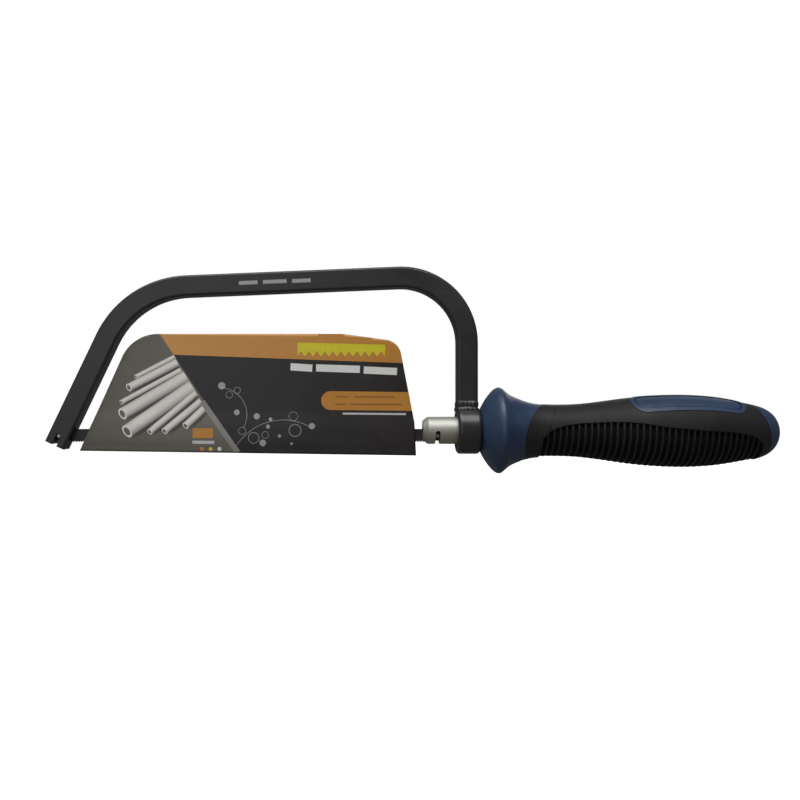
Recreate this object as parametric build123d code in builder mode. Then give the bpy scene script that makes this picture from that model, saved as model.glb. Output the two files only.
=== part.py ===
from build123d import *
from math import asin, atan, cos, degrees, radians, sin, tan
import os

# A mini hacksaw for pin-end blades, in millimetres. The saw stands upright: +Z points from
# the blade to the bow, +X from the front of the saw to the butt of the handle. The origin is
# the middle of the hand grip, on the axis that the handle and the tension stud share.

# Blade
pin_span = 150.0
blade_height = 5.3
blade_thickness = 0.65
blade_overhang = 3.2
blade_end_radius = 1.4
teeth_per_inch = 24
tooth_depth = 0.62
tooth_margin = 5.6
pin_diameter = 1.7
pin_length = 7.0
rear_pin_x = -87.3
blade_z = -2.1

# Bow
bar_size = 8.2
bar_edge_radius = 1.0
front_leg_lean = 25.6
front_corner_height = 56.5
rear_corner_height = 62.0
front_bend_radius = 37.0
rear_bend_radius = 26.3
rear_leg_x = -75.4
tip_below_pin = 4.1
blade_slot = 1.1
blade_slot_length = 9.6
front_pin_slot = 2.1
weld_bevel_height = 3.2
weld_bevel_depth = 0.7

# Eye bush and its weld
bush_radius = 9.4
bush_width = 9.2
bush_offset = 0.5
bush_rim_radius = 1.4
seat_height = 8.8
running_clearance = 0.06
keyway_radius = 7.3
keyway_width = 2.2
keyway_depth = 6.0
bead_stand = 0.45
bead_heights = (2.0, 2.4)
bead_overlap = 0.4

# Tension stud
stud_radius = 5.45
stud_front_x = -92.9
nose_length = 1.9
nose_tip_radius = 4.0
stud_body_end_x = -73.6
stud_slit_end_x = -83.5
stud_pin_slot = 1.9
stud_pin_slot_x = rear_pin_x + 0.05
stud_pin_slot_top = -0.1
tail_radius = 3.0
tail_end_x = -40.0
index_pin_diameter = 2.0
index_pin_length = 14.0
index_pin_x = -75.7

# Washer and nut
washer_radius = 6.2
washer_thickness = 0.8
washer_bore_radius = 3.3
washer_seat_radius = 6.5
nut_front_x = -66.0
nut_length = 14.0
nut_across_flats = 10.0

# Handle
nose_gap = 0.15
rim_x = -62.6
nose_radius = 8.2
skin_thickness = 2.0
grip_droop = 0.4
grip_end_x = 48.5
tail_room_radius = 3.4
tail_room_end_x = -36.0
pad_turn = 60.0
window_front_x = -12.0
window_rear_x = 33.0
window_front_half_width = 6.4
window_rear_half_width = 5.7
window_corner_radius = 5.5
pad_rim = 1.6
rim_rise = 0.3
pad_groove = 0.5
pad_groove_depth = 0.7
panel_depth = 1.3
panel_keel = 3.0
rib_count = 35
rib_pitch = 2.4
rib_width = 0.65
rib_drop = 0.35
first_rib_x = -45.0

# Card sleeve
card_thickness = 0.4
card_gap = 1.0
card_top = 39.0
card_corner_front = 16.0
card_corner_rear = 7.0

front_pin_x = rear_pin_x - pin_span
bush_front_x = rear_leg_x + bush_offset - bush_width / 2
bush_rear_x = bush_front_x + bush_width
handle_nose_x = bush_rear_x + nose_gap

# The front leg's line runs through the front pin, leaning back towards the handle.
lean = radians(front_leg_lean)
leg_up = (sin(lean), cos(lean))
leg_tip = (front_pin_x - leg_up[0] * tip_below_pin, blade_z - leg_up[1] * tip_below_pin)
front_corner = (
    front_pin_x + (front_corner_height - blade_z) * tan(lean),
    front_corner_height,
)
rear_corner = (rear_leg_x, rear_corner_height)
leg_foot = (rear_leg_x, seat_height)

os.makedirs("parts", exist_ok=True)


def write(builder, name):
    """Label a finished piece and write it as its own STEP file."""
    builder.part.label = name
    export_step(builder.part, f"parts/{name}.step")


# ---------------------------------------------------------------- bow, bush and weld

with BuildPart() as frame_bow:
    with BuildLine(Plane.XZ) as bow_line:
        FilletPolyline(
            leg_tip,
            front_corner,
            rear_corner,
            leg_foot,
            radius=[front_bend_radius, rear_bend_radius],
        )
    bow_path = bow_line.line
    section_plane = Plane(origin=bow_path @ 0, x_dir=(0, 1, 0), z_dir=bow_path % 0)
    with BuildSketch(section_plane):
        RectangleRounded(bar_size, bar_size, bar_edge_radius)
    sweep(path=bow_path)
    # The slit takes the blade, the cross slot its pin; both are open at the leg's tip.
    with BuildSketch(Plane.XZ):
        with Locations(leg_tip):
            Rectangle(2 * bar_size, 2 * blade_slot_length, rotation=-front_leg_lean)
    extrude(amount=blade_slot / 2, both=True, mode=Mode.SUBTRACT)
    with BuildSketch(Plane.XZ):
        with Locations((front_pin_x, blade_z)):
            Circle(front_pin_slot / 2)
        with Locations(leg_tip):
            Rectangle(front_pin_slot, 2 * tip_below_pin, rotation=-front_leg_lean)
    extrude(amount=bar_size, both=True, mode=Mode.SUBTRACT)
    # The foot of the rear leg is bevelled all round, to make room for its weld.
    with BuildPart(mode=Mode.PRIVATE) as foot_bevel:
        foot_size = bar_size - 2 * weld_bevel_depth
        with BuildSketch(Plane.XY.offset(seat_height)):
            with Locations((rear_leg_x, 0)):
                Rectangle(2 * bar_size, 2 * bar_size)
        extrude(amount=weld_bevel_height)
        with BuildSketch(Plane.XY.offset(seat_height)):
            with Locations((rear_leg_x, 0)):
                RectangleRounded(foot_size, foot_size, bar_edge_radius - weld_bevel_depth)
        bevel_slope = degrees(atan(weld_bevel_depth / weld_bevel_height))
        extrude(amount=weld_bevel_height, taper=-bevel_slope, mode=Mode.SUBTRACT)
    add(foot_bevel.part, mode=Mode.SUBTRACT)
write(frame_bow, "frame_bow")

with BuildPart() as eye_bush:
    with BuildSketch(Plane.YZ.offset(bush_front_x)):
        Circle(bush_radius)
    extrude(amount=bush_width)
    fillet(eye_bush.edges().filter_by(GeomType.CIRCLE), bush_rim_radius)
    # A flat on top seats the foot of the rear leg.
    with BuildSketch(Plane.XY.offset(seat_height)):
        with Locations((rear_leg_x, 0)):
            Rectangle(2 * bush_width, 2 * bush_radius)
    extrude(amount=bush_radius, mode=Mode.SUBTRACT)
    with BuildSketch(Plane.YZ.offset(bush_front_x)):
        Circle(stud_radius + running_clearance)
    extrude(amount=bush_width, mode=Mode.SUBTRACT)
    # Eight keyways hold the stud's cross pin at every eighth of a turn.
    with BuildSketch(Plane.YZ.offset(bush_front_x)):
        for turn in range(4):
            Rectangle(2 * keyway_radius, keyway_width, rotation=45 * turn)
    extrude(amount=keyway_depth, mode=Mode.SUBTRACT)
write(eye_bush, "eye_bush")

# Two weld runs ring the foot of the rear leg, the lower one down on the bush.
with BuildPart() as weld_bead:
    bead_base = seat_height - bead_heights[0] / 2
    for bead_height in bead_heights:
        with BuildPart(mode=Mode.PRIVATE) as bead:
            with BuildSketch(Plane.XY.offset(bead_base)):
                with Locations((rear_leg_x, 0)):
                    RectangleRounded(
                        bar_size + 2 * bead_stand,
                        bar_size + 2 * bead_stand,
                        bar_edge_radius + bead_stand,
                    )
            extrude(amount=bead_height)
            fillet(bead.faces().sort_by(Axis.Z)[-1].edges(), bead_stand)
            fillet(bead.faces().sort_by(Axis.Z)[0].edges(), bead_stand)
        add(bead.part)
        bead_base += bead_height - bead_overlap
    add(frame_bow.part, mode=Mode.SUBTRACT)
    add(eye_bush.part, mode=Mode.SUBTRACT)
    with BuildSketch(Plane.YZ.offset(bush_front_x)):
        Circle(keyway_radius + bar_edge_radius)
    extrude(amount=bush_width, mode=Mode.SUBTRACT)
write(weld_bead, "weld_bead")

# ---------------------------------------------------------------- blade and its pins

blade_back_z = blade_z + blade_height / 2
tooth_tip_z = blade_z - blade_height / 2
tooth_root_z = tooth_tip_z + tooth_depth
blade_front_x = front_pin_x - blade_overhang
blade_rear_x = rear_pin_x + blade_overhang
tooth_pitch = 25.4 / teeth_per_inch
tooth_count = int((blade_rear_x - blade_front_x - 2 * tooth_margin) / tooth_pitch)
first_tooth_x = (blade_front_x + blade_rear_x - tooth_count * tooth_pitch) / 2

# Each tooth has an upright front face and a back that slopes up towards the handle.
tooth_line = []
for tooth in range(tooth_count):
    face_x = first_tooth_x + tooth * tooth_pitch
    tooth_line += [(face_x, tooth_root_z), (face_x, tooth_tip_z)]
last_root = (first_tooth_x + tooth_count * tooth_pitch, tooth_root_z)

with BuildPart() as blade:
    with BuildSketch(Plane.XZ) as blade_face:
        with BuildLine():
            Polyline(
                *tooth_line,
                last_root,
                (blade_rear_x, tooth_root_z),
                (blade_rear_x, blade_back_z),
                (blade_front_x, blade_back_z),
                (blade_front_x, tooth_root_z),
                close=True,
            )
        make_face()
        end_corners = blade_face.vertices().group_by(Axis.X)
        fillet(end_corners[0] + end_corners[-1], blade_end_radius)
        with Locations((front_pin_x, blade_z), (rear_pin_x, blade_z)):
            Circle(pin_diameter / 2, mode=Mode.SUBTRACT)
    extrude(amount=blade_thickness / 2, both=True)
write(blade, "blade")

for pin_x, pin_name in ((front_pin_x, "front_blade_pin"), (rear_pin_x, "rear_blade_pin")):
    with BuildPart() as blade_pin:
        with BuildSketch(Plane.XZ):
            with Locations((pin_x, blade_z)):
                Circle(pin_diameter / 2)
        extrude(amount=pin_length / 2, both=True)
        chamfer(blade_pin.edges().filter_by(GeomType.CIRCLE), pin_diameter / 8)
    write(blade_pin, pin_name)

# ---------------------------------------------------------------- stud, pin, washer and nut

with BuildPart() as tension_stud:
    with BuildSketch(Plane.XZ):
        with BuildLine():
            Polyline(
                (stud_front_x, 0),
                (stud_front_x, nose_tip_radius),
                (stud_front_x + nose_length, stud_radius),
                (stud_body_end_x, stud_radius),
                (stud_body_end_x, tail_radius),
                (tail_end_x, tail_radius),
                (tail_end_x, 0),
                close=True,
            )
        make_face()
    revolve(axis=Axis.X)
    # The slit takes the blade's end.
    with BuildSketch(Plane.XZ):
        with Locations(((stud_front_x + stud_slit_end_x) / 2, 0)):
            Rectangle(stud_slit_end_x - stud_front_x, 3 * stud_radius)
    extrude(amount=blade_slot / 2, both=True, mode=Mode.SUBTRACT)
    # The cross slot, open below, hooks over the blade's rear pin.
    slot_round_z = stud_pin_slot_top - stud_pin_slot / 2
    with BuildSketch(Plane.XZ):
        with Locations((stud_pin_slot_x, slot_round_z)):
            Circle(stud_pin_slot / 2)
        with Locations((stud_pin_slot_x, slot_round_z - stud_radius)):
            Rectangle(stud_pin_slot, 2 * stud_radius)
    extrude(amount=2 * stud_radius, both=True, mode=Mode.SUBTRACT)
    with BuildSketch(Plane.XY):
        with Locations((index_pin_x, 0)):
            Circle(index_pin_diameter / 2)
    extrude(amount=2 * stud_radius, both=True, mode=Mode.SUBTRACT)
write(tension_stud, "tension_stud")

with BuildPart() as index_pin:
    with BuildSketch(Plane.XY):
        with Locations((index_pin_x, 0)):
            Circle(index_pin_diameter / 2)
    extrude(amount=index_pin_length / 2, both=True)
    chamfer(index_pin.edges().filter_by(GeomType.CIRCLE), index_pin_diameter / 10)
write(index_pin, "index_pin")

with BuildPart() as thrust_washer:
    with BuildSketch(Plane.YZ.offset(bush_rear_x)):
        Circle(washer_radius)
        Circle(washer_bore_radius, mode=Mode.SUBTRACT)
    extrude(amount=washer_thickness)
write(thrust_washer, "thrust_washer")

with BuildPart() as handle_nut:
    with BuildSketch(Plane.YZ.offset(nut_front_x)):
        RegularPolygon(nut_across_flats / 2, 6, major_radius=False)
        Circle(tail_radius + running_clearance, mode=Mode.SUBTRACT)
    extrude(amount=nut_length)
write(handle_nut, "handle_nut")

# ---------------------------------------------------------------- handle

# The handle's side outline, from the guard's nose over its rim to the butt.
guard_points = [
    (handle_nose_x, nose_radius),
    (-68.5, 11.3),
    (-65.9, 15.0),
    (rim_x, 17.2),
    (-59.8, 15.2),
    (-56.0, 13.1),
    (-51.0, 11.3),
    (-42.0, 10.4),
]
grip_points = [
    (-60.0, 15.3),
    (-56.0, 13.1),
    (-51.0, 11.35),
    (-42.0, 10.5),
    (-30.0, 10.9),
    (-15.0, 12.9),
    (0.0, 14.3),
    (12.0, 14.5),
    (25.0, 13.5),
    (36.0, 11.5),
    (41.5, 10.1),
    (45.6, 7.6),
    (47.8, 4.2),
    (grip_end_x, 0.0),
]

# The grip's own axis starts at the guard's rim and droops slightly towards the butt.
droop = radians(grip_droop)
grip_plane = Plane(origin=(rim_x, 0, 0), x_dir=(cos(droop), 0, -sin(droop)), z_dir=(0, -1, 0))
grip_axis = Axis(grip_plane.origin, grip_plane.x_dir)


def grip_form(inset):
    """The grip's turned shape, with its surface moved in by inset."""
    points = [(x - rim_x, radius - inset) for x, radius in grip_points[:-1]]
    end = (grip_end_x - rim_x - inset, 0)
    with BuildPart() as form:
        with BuildSketch(grip_plane):
            with BuildLine():
                Spline(*points, end)
                Polyline(end, (points[0][0], 0), points[0])
            make_face()
        revolve(axis=grip_axis)
    return form.part


# Where the hard moulding comes to the surface: the guard ahead of a curved edge, the butt
# behind another, and the window of the thumb pad.
with BuildPart() as guard_zone:
    with BuildSketch(Plane.XZ):
        with BuildLine():
            ThreePointArc((-41.4, 12.0), (-54.0, -6.0), (-49.6, -16.0))
            Polyline((-49.6, -16.0), (-49.6, -30.0), (-80.0, -30.0), (-80.0, 30.0), (-41.4, 30.0),
                     (-41.4, 12.0))
        make_face()
    extrude(amount=30, both=True)

with BuildPart() as butt_zone:
    with BuildSketch(Plane.XZ):
        with BuildLine():
            ThreePointArc((34.8, 14.0), (40.9, 0.5), (42.2, -14.0))
            Polyline((42.2, -14.0), (60.0, -14.0), (60.0, 14.0), (34.8, 14.0))
        make_face()
    extrude(amount=30, both=True)


# The thumb pad faces up and to one side, pad_turn degrees above the level. The handle is the
# same on both sides of the plane through the pad's middle line and the grip's axis.
side_turn = radians(pad_turn)
pad_out = Vector(sin(side_turn) * sin(droop), -cos(side_turn), sin(side_turn) * cos(droop))
pad_plane = Plane(origin=grip_plane.origin, x_dir=grip_plane.x_dir, z_dir=pad_out)
mirror_plane = Plane(
    origin=grip_plane.origin,
    x_dir=grip_plane.x_dir,
    z_dir=grip_plane.x_dir.cross(pad_out),
)


def window_zone(border):
    """The space over the thumb pad, with its outline moved in by border."""
    front = (window_front_x - rim_x, window_front_half_width)
    rear = (window_rear_x - rim_x, window_rear_half_width)
    with BuildPart() as zone:
        with BuildSketch(pad_plane) as outline:
            with BuildLine():
                Polyline(front, rear, (rear[0], -rear[1]), (front[0], -front[1]), close=True)
            make_face()
            fillet(outline.vertices(), window_corner_radius)
            offset(amount=-border)
        extrude(amount=20)
    return zone.part


with BuildPart() as handle_core:
    with BuildPart(mode=Mode.PRIVATE) as guard:
        with BuildSketch(Plane.XZ):
            with BuildLine():
                Spline(*guard_points)
                Polyline(guard_points[-1], (guard_points[-1][0], 0), (handle_nose_x, 0), guard_points[0])
            make_face()
        revolve(axis=Axis.X)
        add(guard_zone.part, mode=Mode.INTERSECT)
    with BuildPart(mode=Mode.PRIVATE) as thumb_pad:
        add(grip_form(-rim_rise))
        add(window_zone(0), mode=Mode.INTERSECT)
        add(window_zone(pad_rim) - grip_form(pad_groove_depth), mode=Mode.SUBTRACT)
        add(window_zone(pad_rim + pad_groove) & grip_form(0))
    add(grip_form(skin_thickness))
    add(guard.part)
    add(butt_zone.part & grip_form(0))
    add(thumb_pad.part)
    # The nose takes the washer.
    with BuildSketch(Plane.YZ.offset(handle_nose_x)):
        Circle(washer_seat_radius)
    extrude(amount=washer_thickness, mode=Mode.SUBTRACT)
    # The room for the stud's tail, and the seat that the nut is moulded into.
    with BuildSketch(Plane.YZ.offset(handle_nose_x)):
        Circle(tail_room_radius)
    extrude(amount=tail_room_end_x - handle_nose_x, mode=Mode.SUBTRACT)
    with BuildSketch(Plane.YZ.offset(nut_front_x)):
        RegularPolygon(nut_across_flats / 2, 6, major_radius=False)
    extrude(amount=nut_length, mode=Mode.SUBTRACT)
write(handle_core, "handle_core")

# The upper edge of the ribbed panel on each side of the grip, seen from the side.
panel_edge = [
    (-47.2, -5.0),
    (-45.2, -1.2),
    (-40.0, 1.6),
    (-28.0, 3.2),
    (-14.0, 3.4),
    (0.0, 1.6),
    (18.0, 0.0),
    (32.0, -1.5),
    (36.4, -3.4),
    (38.8, -7.0),
]


def height_on(line, x):
    """The height of a line that runs along X, at the place x."""
    low, high = 0.0, 1.0
    for _ in range(30):
        middle = (low + high) / 2
        if (line @ middle).X < x:
            low = middle
        else:
            high = middle
    return (line @ low).Y


with BuildLine():
    grip_line = Spline(*grip_points)
with BuildLine():
    panel_line = Spline(*panel_edge)

# The whole panel lies a little below the skin, so that the ribs do too.
with BuildPart() as side_panel:
    with BuildSketch(Plane.XZ):
        with BuildLine():
            Spline(*panel_edge)
            Polyline(panel_edge[-1], (panel_edge[-1][0], -20.0), (panel_edge[0][0], -20.0), panel_edge[0])
        make_face()
    extrude(amount=20, both=True)
    split(bisect_by=mirror_plane.offset(panel_keel), keep=Keep.TOP)
    add(grip_form(rib_drop), mode=Mode.SUBTRACT)

# Grooves between the ribs run from the panel's upper edge round to a plain keel opposite the pad.
with BuildPart() as side_grooves:
    for groove in range(rib_count + 1):
        groove_x = first_rib_x + (groove - 0.5) * rib_pitch
        radius = height_on(grip_line, groove_x)
        upper = degrees(asin(height_on(panel_line, groove_x) / radius))
        lower = 180 - pad_turn - degrees(asin(panel_keel / radius))
        outward = Vector(0, -cos(radians(upper)), sin(radians(upper)))
        groove_plane = Plane(
            origin=grip_plane.origin,
            x_dir=grip_plane.x_dir,
            z_dir=grip_plane.x_dir.cross(outward),
        )
        with BuildSketch(groove_plane):
            with Locations((groove_x - rim_x, radius)):
                Rectangle(rib_pitch - rib_width, 2 * panel_depth)
        revolve(axis=grip_axis, revolution_arc=upper + lower)

with BuildPart() as grip_overmould:
    add(grip_form(0))
    add(grip_form(skin_thickness), mode=Mode.SUBTRACT)
    add(guard_zone.part, mode=Mode.SUBTRACT)
    add(butt_zone.part, mode=Mode.SUBTRACT)
    add(window_zone(0), mode=Mode.SUBTRACT)
    for cut in (side_panel.part, side_grooves.part):
        add(cut, mode=Mode.SUBTRACT)
        add(cut.mirror(mirror_plane), mode=Mode.SUBTRACT)
write(grip_overmould, "grip_overmould")

# ---------------------------------------------------------------- card sleeve

card_fold = [(-230.1, -8.2), (-95.6, -10.1)]
card_outline = [
    *card_fold,
    (-96.3, 3.6),
    (-102.6, 36.0),
    (-125.0, card_top),
    (-208.8, card_top),
]

with BuildPart() as blade_sleeve:
    with BuildSketch(Plane.XZ) as card_face:
        with BuildLine():
            Polyline(*card_outline, close=True)
        make_face()
        fillet(card_face.vertices().group_by(Axis.X)[1], card_corner_front)
        fillet(card_face.vertices().sort_by(Axis.X)[-3], card_corner_rear)
    extrude(amount=card_gap / 2 + card_thickness, both=True)
    # The two leaves stand apart above the fold along the lower edge.
    with BuildSketch(Plane.XZ):
        with BuildLine():
            fold_top = [(x, z + card_thickness) for x, z in card_fold]
            Polyline(
                (-240.0, fold_top[0][1]),
                *fold_top,
                (-85.0, fold_top[1][1]),
                (-85.0, card_top + 1),
                (-240.0, card_top + 1),
                close=True,
            )
        make_face()
    extrude(amount=card_gap / 2, both=True, mode=Mode.SUBTRACT)
write(blade_sleeve, "blade_sleeve")
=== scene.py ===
from math import cos, pi, radians, sin

import bmesh
import bpy
from bpy.props import FloatProperty, FloatVectorProperty, IntProperty, PointerProperty
from bpy.types import Operator, Panel, PropertyGroup
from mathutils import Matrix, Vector


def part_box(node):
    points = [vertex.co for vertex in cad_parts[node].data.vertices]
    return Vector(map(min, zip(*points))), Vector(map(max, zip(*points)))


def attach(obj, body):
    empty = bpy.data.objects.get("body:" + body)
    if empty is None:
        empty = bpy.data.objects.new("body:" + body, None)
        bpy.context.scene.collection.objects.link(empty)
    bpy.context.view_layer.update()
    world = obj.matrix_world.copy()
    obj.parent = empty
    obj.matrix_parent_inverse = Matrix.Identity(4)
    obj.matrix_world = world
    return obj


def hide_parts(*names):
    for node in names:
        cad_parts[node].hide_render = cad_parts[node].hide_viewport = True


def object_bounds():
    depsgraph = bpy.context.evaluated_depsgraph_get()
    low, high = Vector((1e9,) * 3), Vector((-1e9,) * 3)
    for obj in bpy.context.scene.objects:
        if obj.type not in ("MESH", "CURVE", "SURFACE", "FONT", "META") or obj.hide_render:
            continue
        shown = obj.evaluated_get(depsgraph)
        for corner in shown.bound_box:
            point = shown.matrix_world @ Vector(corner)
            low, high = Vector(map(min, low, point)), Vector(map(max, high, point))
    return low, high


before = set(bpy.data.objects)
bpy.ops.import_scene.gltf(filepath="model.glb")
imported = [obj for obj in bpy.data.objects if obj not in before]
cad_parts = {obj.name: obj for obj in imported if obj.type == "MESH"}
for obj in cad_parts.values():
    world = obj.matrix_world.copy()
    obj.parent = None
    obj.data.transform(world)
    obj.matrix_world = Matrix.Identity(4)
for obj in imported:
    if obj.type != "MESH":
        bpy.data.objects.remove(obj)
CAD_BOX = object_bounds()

bl_info = {
    "name": "Mini hacksaw",
    "version": (1, 0, 0),
    "blender": (4, 5, 0),
    "location": "3D View > Sidebar > Hacksaw",
    "description": "Finishes and soft details of a mini hacksaw with a pin-end blade in a card sleeve",
    "category": "Object",
}

# The saw stands along X with its handle at +X, its blade below and its bow above. All sizes are
# in metres. MM turns a size in millimetres into one.
MM = 0.001

LEG_LOW, LEG_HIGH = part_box("frame_bow")
WELD_LOW, WELD_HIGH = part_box("weld_bead")
CARD_LOW, CARD_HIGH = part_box("blade_sleeve")
BLADE_LOW, BLADE_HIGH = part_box("blade")

# The floor lies clear below the card when it has slid all the way down off the blade.
SLEEVE_TRAVEL = 45 * MM
FLOOR_CLEARANCE = 5 * MM
FLOOR_HEIGHT = CARD_LOW.z - SLEEVE_TRAVEL - FLOOR_CLEARANCE

# The seams of the handle seen from the side: the centre and the radius of each round edge.
GUARD_SEAM = ((-37.0 * MM, 0, -4.5 * MM), 17.06 * MM)
BUTT_SEAM = ((-1.72 * MM, 0, -10.63 * MM), 44.05 * MM)

# The ribbed panels: the middle of the first rib and the pitch along the grip's drooping axis. The
# two panels mirror each other across the plane through the thumb pad, which faces PAD_TURN above
# the level.
DROOP = radians(0.4)
PAD_TURN = radians(60)
GRIP_FRONT = (-62.6 * MM, 0, 0)
GRIP_AXIS = (cos(DROOP), 0, -sin(DROOP))
GRIP_UP = (sin(DROOP), 0, cos(DROOP))
FIRST_RIB = -45.0 * MM
RIB_PITCH = 2.4 * MM
RIB_WIDTH = 0.65 * MM
KEEL_HALF_WIDTH = 3.0 * MM

# The upper edge of a panel, in millimetres along and up.
PANEL_EDGE = ((-47.2, -5.0), (-45.2, -1.2), (-40.0, 1.6), (-28.0, 3.2), (-14.0, 3.4), (0.0, 1.6),
              (18.0, 0.0), (32.0, -1.5), (36.4, -3.4), (38.8, -7.0))


# ---------------------------------------------------------------- settings

def colour(name, description, default):
    """A colour setting."""
    return FloatVectorProperty(
        name=name, description=description, default=default, subtype="COLOR", min=0, max=1
    )


def length(name, description, default):
    """A length setting, given in millimetres and held in metres."""
    return FloatProperty(
        name=name, description=description, default=default * MM, unit="LENGTH", precision=5
    )


class StudioSettings(PropertyGroup):
    """The floor, the light and the camera."""

    floor_colour: colour("Floor", "Colour of the floor", (0.84, 0.84, 0.85))
    key_power: FloatProperty(
        name="Overhead light", description="Power of the soft light above", default=5.3, unit="POWER"
    )
    fill_power: FloatProperty(
        name="Front light", description="Power of the soft light in front", default=0.95, unit="POWER"
    )
    back_power: FloatProperty(
        name="Back light", description="Power of the soft light behind", default=1.1, unit="POWER"
    )
    room_light: FloatProperty(
        name="Room light", description="Brightness of the light from all round", default=0.12
    )
    camera_distance: length("Camera distance", "From the lens to the middle of the saw", 335.2)
    camera_height: length("Camera height", "Height of the lens above the handle's axis", 7.3)
    camera_place: length("Camera place", "Where the lens stands along the saw", -122.8)
    lens: FloatProperty(name="Lens", description="Focal length", default=37.71, unit="CAMERA")
    shift: FloatVectorProperty(
        name="Lens shift", description="Sideways and upward shift", default=(0.065, 0.0151), size=2
    )


class PaintSettings(PropertyGroup):
    """The black paint on the bow, its bush and its weld."""

    paint: colour("Paint", "Colour of the paint", (0.017, 0.017, 0.018))
    thin_paint: colour("Thin paint", "Colour where the paint is rubbed", (0.040, 0.040, 0.042))
    bare_steel: colour("Bare steel", "Colour where an edge is rubbed through", (0.16, 0.155, 0.15))
    mark: colour("Marks", "Colour of the plain marks on the bow's side", (0.34, 0.34, 0.34))
    rub_width: length("Rub width", "How far wear reaches from an edge", 0.45)


class MetalSettings(PropertyGroup):
    """The blade, its pins, the stud, the washer and the nut."""

    blued: colour("Blued steel", "Colour of the blade", (0.060, 0.058, 0.060))
    ground: colour("Ground steel", "Colour of the pins and the teeth's tips", (0.42, 0.41, 0.40))
    zinc: colour("Zinc", "Colour of the plating", (0.52, 0.52, 0.485))
    # Painted reflection: the brownish colour laid on the stud's lower side, in place of a brown
    # surface reflected from below.
    zinc_lower_reflection: colour("Zinc lower reflection", "Colour painted on the lower side as a brownish reflection", (0.50, 0.46, 0.32))
    brass: colour("Brass", "Colour of the nut", (0.78, 0.60, 0.30))


class HandleSettings(PropertyGroup):
    """The hard blue moulding and the soft black skin."""

    blue: colour("Blue moulding", "Colour of the hard moulding", (0.014, 0.034, 0.080))
    blue_light: colour("Light blue", "Colour of the moulding's paler patches", (0.026, 0.051, 0.104))
    skin: colour("Black skin", "Colour of the soft skin", (0.0105, 0.0100, 0.0100))
    skin_light: colour("Worn skin", "Colour of the skin where hands polish it", (0.019, 0.018, 0.018))


class CardSettings(PropertyGroup):
    """The folded card over the blade and the inks on it."""

    leaf_thickness: length("Leaf thickness", "Thickness of the card", 0.35)
    fold_radius: length("Fold radius", "Outer radius of the fold under the teeth", 0.85)
    blade_stand: length("Stand at the blade", "How far a leaf stands out over the blade", 1.10)
    top_stand: length("Stand at the top", "How far a leaf stands out along its upper edge", 0.74)
    board: colour("Board", "Colour of the unprinted board", (0.42, 0.41, 0.38))
    olive: colour("Olive ink", "Colour of the front panel", (0.165, 0.150, 0.120))
    charcoal: colour("Charcoal ink", "Colour of the rear panel", (0.009, 0.008, 0.009))
    orange: colour("Orange ink", "Colour of the band, the label and the tag", (0.55, 0.235, 0.028))
    yellow: colour("Yellow ink", "Colour of the row of teeth", (0.70, 0.62, 0.015))
    white: colour("White ink", "Colour of the lines and dots", (0.80, 0.80, 0.78))
    silver: colour("Silver ink", "Colour of the stripe", (0.26, 0.245, 0.23))
    pipe: colour("Pipe", "Colour of the printed pipes", (0.82, 0.78, 0.74))
    pipe_shade: colour("Pipe shade", "Colour of the shaded side of the pipes", (0.13, 0.115, 0.10))


class WeldSettings(PropertyGroup):
    """The two weld runs at the foot of the rear leg."""

    bead_stand: length("Bead stand", "How far the upper run stands out from the bar", 0.55)
    foot_stand: length("Foot stand", "How far the lower run spreads out over the bush", 1.05)
    lump_height: length("Lump height", "How uneven a run is", 0.15)
    lumps: IntProperty(name="Lumps", description="Lumps round one run", default=22)


# ---------------------------------------------------------------- shader wiring

class Wiring:
    """Places shader nodes in one tree and joins their sockets."""

    def __init__(self, tree):
        self.nodes = tree.nodes
        self.links = tree.links

    def feed(self, socket, value):
        """Links a socket to another node's, or gives it a value of its own."""
        if isinstance(value, bpy.types.NodeSocket):
            self.links.new(value, socket)
        else:
            socket.default_value = value

    def put(self, kind, inputs, **choices):
        """A new node of one kind, with its choices made and its inputs fed."""
        node = self.nodes.new("ShaderNode" + kind)
        for choice, value in choices.items():
            setattr(node, choice, value)
        for socket, value in inputs.items():
            self.feed(node.inputs[socket], value)
        return node

    def math(self, operation, *values, clamp=False):
        """One step of arithmetic."""
        inputs = dict(enumerate(values))
        return self.put("Math", inputs, operation=operation, use_clamp=clamp).outputs[0]

    def plus(self, first, second):
        return self.math("ADD", first, second)

    def minus(self, first, second, clamp=False):
        return self.math("SUBTRACT", first, second, clamp=clamp)

    def times(self, first, second, clamp=False):
        return self.math("MULTIPLY", first, second, clamp=clamp)

    def over(self, first, second, clamp=False):
        return self.math("DIVIDE", first, second, clamp=clamp)

    def size(self, value):
        """A value without its sign."""
        return self.math("ABSOLUTE", value)

    def vector(self, operation, *values, output="Vector"):
        """One step of vector arithmetic."""
        inputs = dict(enumerate(values))
        return self.put("VectorMath", inputs, operation=operation).outputs[output]

    def dot(self, first, second):
        return self.vector("DOT_PRODUCT", first, second, output="Value")

    def apart(self, first, second):
        """How far two points are apart."""
        return self.vector("DISTANCE", first, second, output="Value")

    def spread(self, value, low, high, out_low=0.0, out_high=1.0):
        """Maps low..high onto out_low..out_high, held at both ends."""
        inputs = {0: value, 1: low, 2: high, 3: out_low, 4: out_high}
        return self.put("MapRange", inputs, clamp=True).outputs[0]

    def tint(self, mask, plain, marked):
        """One colour where the mask is 0, another where it is 1."""
        return self.put("Mix", {0: mask, 6: plain, 7: marked}, data_type="RGBA").outputs[2]

    def place(self):
        """Where a point is on the saw."""
        return self.put("TexCoord", {}).outputs["Object"]

    def add(self, effect_name, **inputs):
        """A shared effect, with its named inputs fed. Underscores stand for spaces."""
        node = self.put("Group", {}, node_tree=effect(effect_name))
        for name, value in inputs.items():
            self.feed(node.inputs[name.replace("_", " ").title()], value)
        return node.outputs


SOCKETS = {"value": "NodeSocketFloat", "vector": "NodeSocketVector", "colour": "NodeSocketColor"}


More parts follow.
